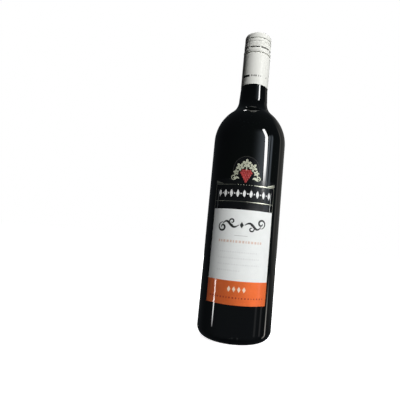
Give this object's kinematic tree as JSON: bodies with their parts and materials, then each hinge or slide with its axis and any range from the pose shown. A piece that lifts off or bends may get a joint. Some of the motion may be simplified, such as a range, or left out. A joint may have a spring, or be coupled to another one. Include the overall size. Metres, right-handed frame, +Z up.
{
  "type": "wine bottle",
  "caption": "Sealed dark glass wine bottle with round shoulders, a long-skirt white screw cap and a wrapped front label with an arched top edge.",
  "frame": {"origin": "centre of the standing ring, on the surface that the bottle stands on", "axes": "+Z up along the bottle's axis, -Y out of the middle of the front label, +X to the label's right as it is read"},
  "size_m": [0.0746, 0.0749, 0.3174],
  "materials": {
    "dark_glass": "gloss",
    "cap_paint": "satin",
    "label_paper": "matte"
  },
  "bodies": {
    "root": {"bottle": "dark_glass", "screw_cap": "cap_paint", "front_label": "label_paper"}
  },
  "joints": []
}
